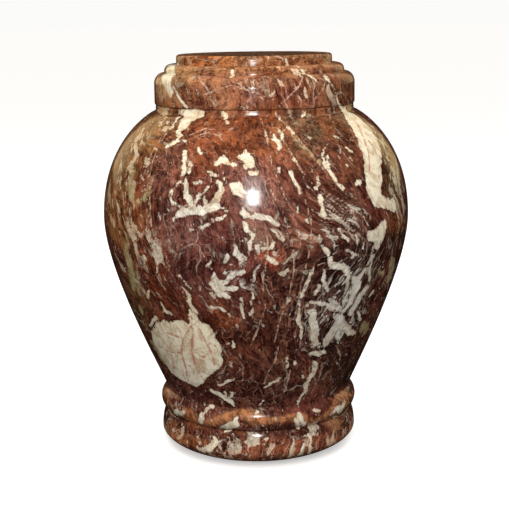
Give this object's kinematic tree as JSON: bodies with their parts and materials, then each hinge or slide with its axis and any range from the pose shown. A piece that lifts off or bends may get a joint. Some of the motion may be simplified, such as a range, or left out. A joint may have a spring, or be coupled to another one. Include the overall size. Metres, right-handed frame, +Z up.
{
  "type": "cremation urn",
  "caption": "Turned marble urn with a full shouldered belly, a rounded foot under a bead, and a low stepped lid that lifts off.",
  "frame": {"origin": "centre of the flat underside that the urn stands on", "axes": "+Z up along the turning axis; the urn is round, so X and Y are free, and the front of the veining faces -Y"},
  "size_m": [0.2008, 0.2008, 0.26],
  "materials": {
    "marble": "polished"
  },
  "bodies": {
    "root": {"body": "marble", "lid": "marble"}
  },
  "joints": []
}
